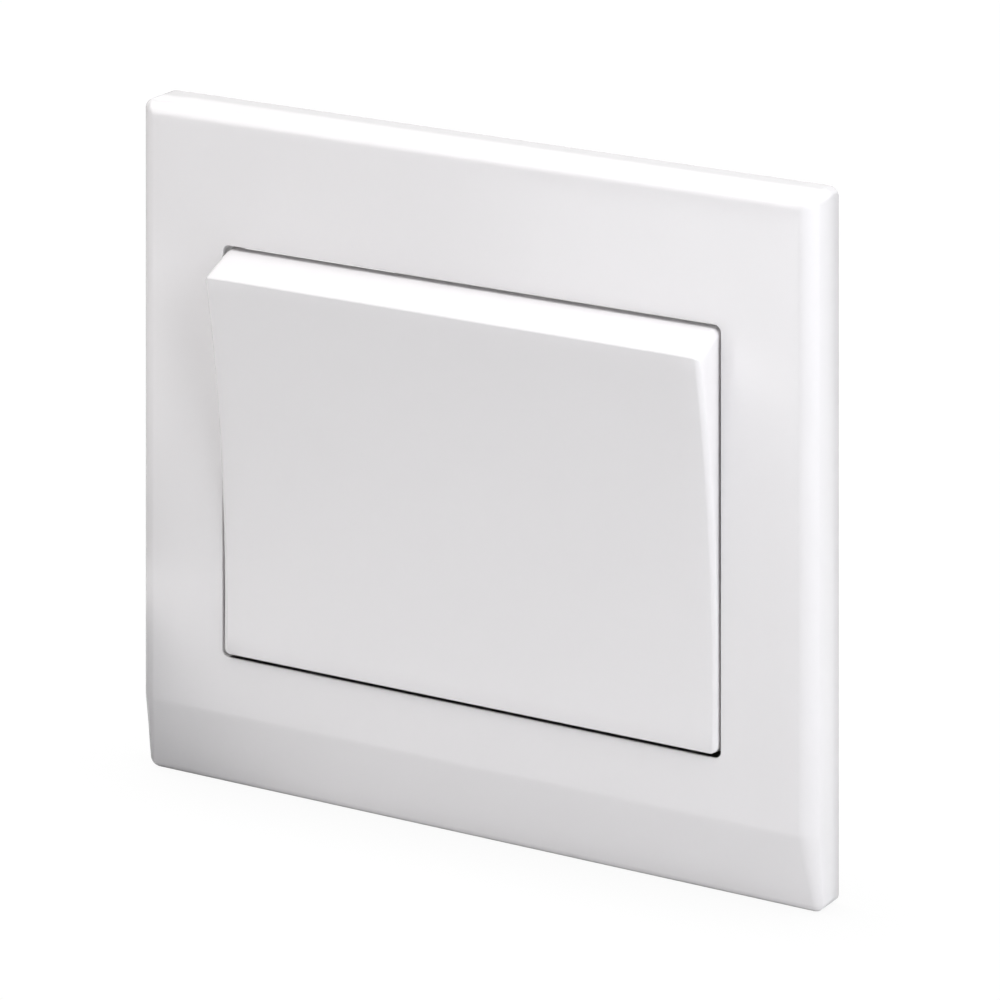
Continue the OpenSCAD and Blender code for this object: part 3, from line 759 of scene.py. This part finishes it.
def build_clamp_screw(name):
    lo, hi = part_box(name + "_screw")
    centre = Vector(((lo.x + hi.x) / 2, 0, (lo.z + hi.z) / 2))
    head_r, face = (hi.x - lo.x) / 2, hi.y
    seat = face - 1.5 * MM
    head = bmesh.new()
    chamfer = 0.2 * MM
    add_lathe(head, [
        (0, seat), (head_r - chamfer, seat), (head_r, seat + chamfer), (head_r, face - 2 * chamfer),
        (head_r - 0.3 * chamfer, face - chamfer), (head_r - chamfer, face - 0.3 * chamfer),
        (head_r - 2 * chamfer, face), (0, face)], centre)
    cutter = bmesh.new()
    half = 0.4 * MM
    add_box(
        cutter, centre + Vector((-2 * head_r, face - 0.8 * MM, -half)),
        centre + Vector((2 * head_r, face + MM, half)))
    head = cut("head", head, cutter)
    add_thread(head, centre, lo.y, seat + 0.1 * MM, 1.7 * MM, 1.42 * MM, 0.6 * MM)
    weld(head, 1e-7)
    return make_object(name + "_slotted_screw", head, ZINC, smooth_angle=40)


def build_spring():
    """Coil spring with closed end turns, in the rocker's frame."""
    coil, wire, sides, per_turn = 1.12 * MM, 0.22 * MM, 10, 24
    y_from, y_to = -2.98 * MM + wire, 5.98 * MM - wire
    turns, dead = 9, 1
    close = 2.1 * wire
    active = (y_to - y_from - 2 * dead * close) / (turns - 2 * dead)
    bm = bmesh.new()
    rows = []
    for k in range(turns * per_turn + 1):
        t = k / per_turn
        if t < dead:
            y = t * close
        elif t < turns - dead:
            y = dead * close + (t - dead) * active
        else:
            y = dead * close + (turns - 2 * dead) * active + (t - turns + dead) * close
        a = 2 * math.pi * t
        out = Vector((math.cos(a), 0, math.sin(a)))
        centre = coil * out + Vector((0, y_from + y, 0))
        around = [2 * math.pi * i / sides for i in range(sides)]
        rows.append([centre + wire * (math.cos(b) * out + math.sin(b) * Vector((0, 1, 0))) for b in around])
    start, end = (sum(row, Vector()) / sides for row in (rows[0], rows[-1]))
    rows.insert(0, [start] * sides)
    rows.append([end] * sides)
    add_rows(bm, rows, wrap=True)
    weld(bm, 1e-7)
    return make_object("plunger_coil", bm, SPRING, ON_ROCKER)


# ---------------------------------------------------------------- build


def place(piece, body, node, slot_name):
    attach(piece, body)
    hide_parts(node)


place(build_front_frame(), "base", "front_frame", "white_plastic")
place(build_rocker_cap(), "rocker", "rocker_cap", "white_plastic")
place(build_box_screws(), "base", "fixing_screws", "plated_steel")
place(build_case_screws(), "base", "housing_screws", "plated_steel")
for terminal in ("common", "l1", "l2"):
    place(build_clamp_screw(terminal), terminal + "_screw", terminal + "_screw", "plated_steel")

spring = build_spring()
place(spring, "rocker", "plunger_spring", "spring_steel")
spring_axis = Vector(JOINTS["plunger_travel"]["axis"])
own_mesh(spring)

# the other pieces keep their CAD shape, with their edges rounded by this many millimetres
EDGE_ROUNDING = {
    "mounting_plate": 0.25, "mechanism_cover": 0.25, "mechanism_housing": 0.35, "rocker_carrier": 0.2,
    "plunger": 0.15, "contact_bar": 0.1, "moving_contacts": 0.15, "fixed_contacts": 0.08,
    "common_strip": 0.1, "l1_strip": 0.1, "l2_strip": 0.1,
    "common_pillar": 0.25, "l1_pillar": 0.25, "l2_pillar": 0.25,
    "common_clamp_pad": 0.12, "l1_clamp_pad": 0.12, "l2_clamp_pad": 0.12,
}


def rounded_copy(name, width, material):
    """A copy of a CAD node with its triangles merged into flat faces and its sharp edges rounded."""
    bm = bmesh.new()
    bm.from_mesh(NODES[name].data)
    bmesh.ops.remove_doubles(bm, verts=bm.verts, dist=1e-6)
    bmesh.ops.dissolve_limit(
        bm, angle_limit=math.radians(0.5), verts=bm.verts, edges=bm.edges, delimit=set())
    sharp = [e for e in bm.edges if len(e.link_faces) == 2 and e.calc_face_angle(0) > math.radians(40)]
    bmesh.ops.bevel(
        bm, geom=sharp, offset=width * MM, segments=2, affect="EDGES", profile=0.5,
        clamp_overlap=True, miter_outer="ARC")
    piece = make_object(name + "_rounded", bm, material)
    flat = piece.modifiers.new("flat_faces", "WEIGHTED_NORMAL")
    flat.keep_sharp = True
    return piece


SLOT_OF = {s["node"]: s["material_slot"] for s in frame["record"]["subparts"]}
BODY_OF = {n: body for body, members in frame["record"]["behaviour"]["bodies"].items() for n in members}
for name, node in NODES.items():
    finish = SLOT_MATERIAL[SLOT_OF[name]]
    node.data.materials.clear()
    node.data.materials.append(finish)
    if name in EDGE_ROUNDING:
        place(rounded_copy(name, EDGE_ROUNDING[name], finish), BODY_OF[name], name, SLOT_OF[name])

# ---------------------------------------------------------------- camera

CAMERA_AT = Vector((0.30934, -0.74622, 0.21133))
CAMERA_TURN = math.radians(40.2157)
CAMERA_LENS = 222.4
CAMERA_SHIFT = (1.9791, -1.7157)

camera_data = bpy.data.cameras.new("camera")
camera = bpy.data.objects.new("camera", camera_data)
bpy.context.scene.collection.objects.link(camera)
camera.location = CAMERA_AT
camera.rotation_euler = (math.radians(90), 0, CAMERA_TURN)
camera_data.sensor_width = 36
camera_data.lens = CAMERA_LENS
camera_data.clip_start = 0.01
camera_data.clip_end = 10
bpy.context.scene.camera = camera

home = bpy.data.objects.new("camera_home", None)
home.location = CAMERA_AT
bpy.context.scene.collection.objects.link(home)


def shift_at_home(channel, amount):
    """Drives one lens shift from the camera's distance to its own place, so other views stay centred."""
    curve = camera_data.driver_add(channel)
    curve.driver.type = "SUM"
    variable = curve.driver.variables.new()
    variable.type = "LOC_DIFF"
    variable.targets[0].id = camera
    variable.targets[1].id = home
    for modifier in list(curve.modifiers):
        curve.modifiers.remove(modifier)
    for distance, value in ((0, amount), (20 * MM, amount), (40 * MM, 0)):
        curve.keyframe_points.insert(distance, value).interpolation = "LINEAR"


shift_at_home("shift_x", CAMERA_SHIFT[0])
shift_at_home("shift_y", CAMERA_SHIFT[1])

# ---------------------------------------------------------------- floor

FLOOR_HALF = 3
FLOOR_Z = frame_lo.z - 0.05 * MM
FLOOR_GREY = 0.75
# the camera's view of the floor, from the painted contact shadow near the object up to plain white
FLOOR_PAINTED_SHADOW, FLOOR_WHITE = 0.93, 1.01


def for_camera(nodes, links, plain, seen, output):
    """Sends one shader to the camera's own rays and another to all the rest."""
    path = nodes.new("ShaderNodeLightPath")
    choice = nodes.new("ShaderNodeMixShader")
    links.new(path.outputs["Is Camera Ray"], choice.inputs["Fac"])
    links.new(plain, choice.inputs[1])
    links.new(seen, choice.inputs[2])
    links.new(choice.outputs["Shader"], nodes[output].inputs["Surface"])


def floor_material():
    """Pale paper: to the camera a white glow with a painted contact shadow near the object, to every other ray
    grey paper that sends back a soft grey light.
    """
    paper, nodes, links, shader = new_material("pale_floor")
    shader.inputs["Base Color"].default_value = (FLOOR_GREY, FLOOR_GREY, FLOOR_GREY, 1)
    shader.inputs["Roughness"].default_value = 0.9
    shader.inputs["Specular IOR Level"].default_value = 0
    # an occlusion node finds where the object is near, and the painted shadow darkens the glow there
    contact = nodes.new("ShaderNodeAmbientOcclusion")
    contact.samples = 8
    contact.inputs["Distance"].default_value = 20 * MM
    glow = nodes.new("ShaderNodeEmission")
    links.new(between(nodes, links, contact.outputs["AO"], FLOOR_PAINTED_SHADOW, FLOOR_WHITE), glow.inputs["Color"])
    for_camera(nodes, links, shader.outputs["BSDF"], glow.outputs["Emission"], "Material Output")
    return paper


def stage_sheet(name, at, half_x, half_y, material):
    """A level rectangle of the studio, which is no part of the object."""
    mesh = bpy.data.meshes.new(name)
    corners = ((-1, -1), (1, -1), (1, 1), (-1, 1))
    mesh.from_pydata([(half_x * x, half_y * y, 0) for x, y in corners], [], [(0, 1, 2, 3)])
    mesh.materials.append(material)
    sheet = bpy.data.objects.new(name, mesh)
    sheet.location = at
    bpy.context.scene.collection.objects.link(sheet)
    return sheet


stage_sheet("floor", (0, 0, FLOOR_Z), FLOOR_HALF, FLOOR_HALF, floor_material())

# ---------------------------------------------------------------- light

# the object is lit by a dome that is brighter behind than in front
DOME_FROM = Vector((0, 1, 0.2)).normalized()
DOME_LOW, DOME_HIGH = 0.02, 1.02


def studio_world():
    """A white background for the camera and the dome for every other ray."""
    world = bpy.data.worlds.new("studio")
    world.use_nodes = True
    nodes, links = world.node_tree.nodes, world.node_tree.links
    coords = nodes.new("ShaderNodeTexCoord")
    facing = nodes.new("ShaderNodeVectorMath")
    facing.operation = "DOT_PRODUCT"
    facing.inputs[1].default_value = DOME_FROM
    links.new(coords.outputs["Generated"], facing.inputs[0])
    dome = nodes["Background"]
    strength = between(nodes, links, facing.outputs["Value"], DOME_LOW, DOME_HIGH)
    links.new(strength, dome.inputs["Strength"])
    white = nodes.new("ShaderNodeBackground")
    for background in (dome, white):
        background.inputs["Color"].default_value = (1, 1, 1, 1)
    for_camera(nodes, links, dome.outputs["Background"], white.outputs["Background"], "World Output")
    return world


bpy.context.scene.world = studio_world()
bpy.context.scene.view_settings.view_transform = "Standard"


def soft_light(name, at, aim, size, watts, colour):
    """A rectangular light panel that faces a point; the camera doesn't see it."""
    panel = bpy.data.lights.new(name, "AREA")
    panel.shape = "RECTANGLE"
    panel.size, panel.size_y = size
    panel.energy = watts
    panel.color = colour
    lamp = bpy.data.objects.new(name, panel)
    lamp.location = at
    lamp.rotation_euler = (Vector(at) - Vector(aim)).to_track_quat("Z", "Y").to_euler()
    lamp.visible_camera = False
    bpy.context.scene.collection.objects.link(lamp)


WARM, COOL = (1, 0.985, 0.975), (0.96, 0.97, 1)
MIDDLE = (0, 0, 0)
soft_light("left_above", (-0.2, -0.165, 0.37), MIDDLE, (0.4, 0.4), 1.39, WARM)
soft_light("right_above", (0.265, -0.095, 0.285), MIDDLE, (0.35, 0.35), 1.15, COOL)
soft_light("right_corner", (0.17, -0.06, 0.09), (0.03, 0, 0.03), (0.1, 0.1), 0.068, COOL)
soft_light("left_margin", (-0.07, -0.045, 0.002), (-0.037, -0.0085, 0.002), (0.02, 0.03), 0.0013, WARM)
soft_light("sheen", (-0.035, -0.2, -0.014), (-0.035, 0, -0.014), (0.075, 0.05), 0.024, COOL)

# a black card that shades the lower left corner from the lamps above it
CARD_AT = (-0.057, -0.0225, -0.018)
CARD_HALF_X, CARD_HALF_Y = 13 * MM, 12 * MM
black, _, _, black_shader = new_material("black_card")
black_shader.inputs["Base Color"].default_value = (0.02, 0.02, 0.02, 1)
card = stage_sheet("shade_card", CARD_AT, CARD_HALF_X, CARD_HALF_Y, black)
card.visible_camera = card.visible_glossy = False
